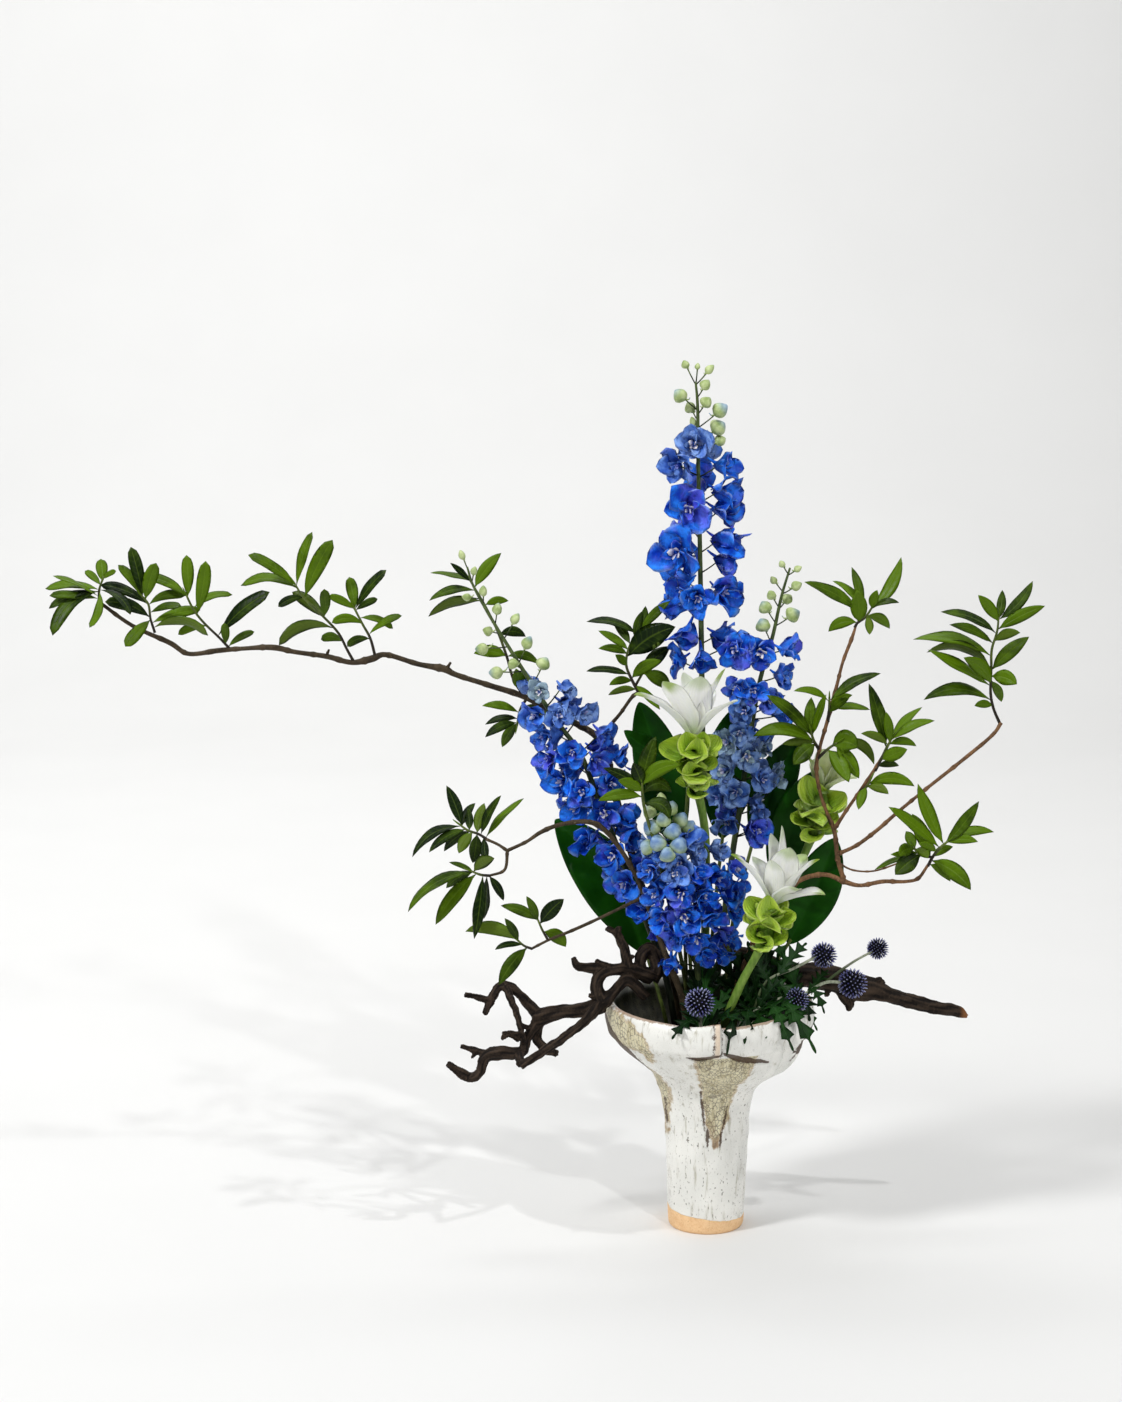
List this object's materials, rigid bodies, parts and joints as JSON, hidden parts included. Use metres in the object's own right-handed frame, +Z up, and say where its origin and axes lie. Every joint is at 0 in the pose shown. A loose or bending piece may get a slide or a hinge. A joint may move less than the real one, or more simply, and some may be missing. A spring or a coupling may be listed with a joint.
{
  "type": "flower arrangement in a vase",
  "caption": "Free standing flower arrangement of blue flower spikes, white crowned blooms, thistles, leafy branches and driftwood in a trumpet shaped ceramic vase.",
  "frame": {"origin": "centre of the underside of the vase's foot, on the table", "axes": "+Z up, +X to the viewer's right along the arrangement's length, +Y away from the viewer"},
  "size_m": [1.0003, 0.2213, 0.8835],
  "materials": {
    "bark": "dark brown bark",
    "blue_floret": "deep to pale blue florets and pale buds on green stalks",
    "brass": "dull cast needle holder",
    "dark_leaf": "smooth dark green leaf",
    "driftwood": "weathered dark driftwood",
    "glaze": "hand built stoneware under a crackled white glaze",
    "green_bract": "lime green waxy bract",
    "green_petal": "pale green waxy petal",
    "leaf": "mid green willow shaped leaf",
    "tan_bark": "orange tan bark",
    "thistle_head": "lavender spiny head",
    "thistle_leaf": "dark green spiny leaf and pale stalk",
    "water": "clear water",
    "white_petal": "white waxy petal with a green tip"
  },
  "bodies": {
    "root": {"vase": "glaze", "needle_holder": "brass", "driftwood_left": "driftwood", "driftwood_right": "driftwood", "branch_left": "bark", "branch_low_left": "bark", "branch_right": "tan_bark", "delphinium_tall": "blue_floret", "delphinium_left": "blue_floret", "delphinium_right": "blue_floret", "delphinium_front": "blue_floret", "curcuma_top_stem": "green_bract", "curcuma_top_crown": "white_petal", "curcuma_front_stem": "green_bract", "curcuma_front_crown": "white_petal", "curcuma_back_stem": "green_bract", "curcuma_back_crown": "green_petal", "thistle_head_centre": "thistle_head", "thistle_head_front": "thistle_head", "thistle_head_upper": "thistle_head", "thistle_head_lower": "thistle_head", "thistle_head_far": "thistle_head", "thistle_centre": "thistle_leaf", "thistle_front": "thistle_leaf", "thistle_right": "thistle_leaf", "broad_leaf_low_left": "dark_leaf", "broad_leaf_high_left": "dark_leaf", "broad_leaf_level": "dark_leaf", "broad_leaf_high_right": "dark_leaf", "broad_leaf_upper_right": "dark_leaf", "broad_leaf_mid_right": "dark_leaf", "broad_leaf_low_right": "dark_leaf", "front_shoot": "leaf", "shoot_left_tip": "leaf", "shoot_left_second": "leaf", "shoot_left_third": "leaf", "shoot_left_fourth": "leaf", "shoot_left_knot": "leaf", "shoot_by_delphinium": "leaf", "shoot_under_delphinium": "leaf", "shoot_low_left_top": "leaf", "shoot_low_left_under": "leaf", "shoot_low_fork": "leaf", "shoot_low_fork_side": "leaf", "shoot_upper_left": "leaf", "shoot_right_top": "leaf", "shoot_right_middle": "leaf", "shoot_right_middle_left": "leaf", "shoot_right_middle_right": "leaf", "shoot_right_inner": "leaf", "shoot_right_fork": "leaf", "shoot_right_low": "leaf", "shoot_far_right": "leaf", "water": "water"}
  },
  "joints": []
}
